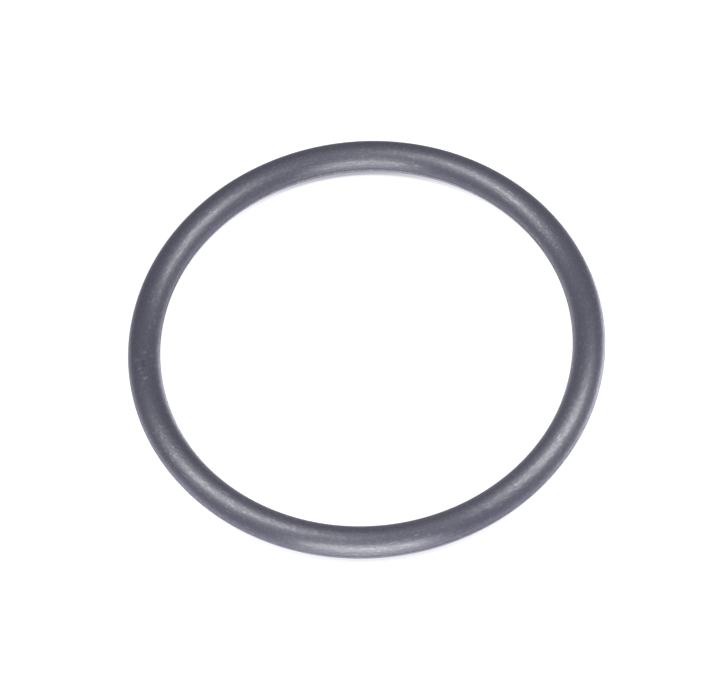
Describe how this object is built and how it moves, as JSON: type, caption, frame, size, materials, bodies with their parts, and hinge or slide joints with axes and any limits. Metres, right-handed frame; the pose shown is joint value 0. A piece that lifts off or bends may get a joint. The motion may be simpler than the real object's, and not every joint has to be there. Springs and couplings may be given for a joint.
{
  "type": "o-ring",
  "caption": "Closed moulded rubber ring of round section, squeezed in a groove to seal the gap between mating parts.",
  "frame": {"origin": "centre of the ring, on its middle plane, where the mould halves met", "axes": "+Z along the ring's axis; the ring lies flat in XY and is round, so it looks the same along every X and Y"},
  "size_m": [0.045, 0.045, 0.003],
  "materials": {
    "rubber": "matte"
  },
  "bodies": {
    "root": {"o_ring": "rubber"}
  },
  "joints": []
}
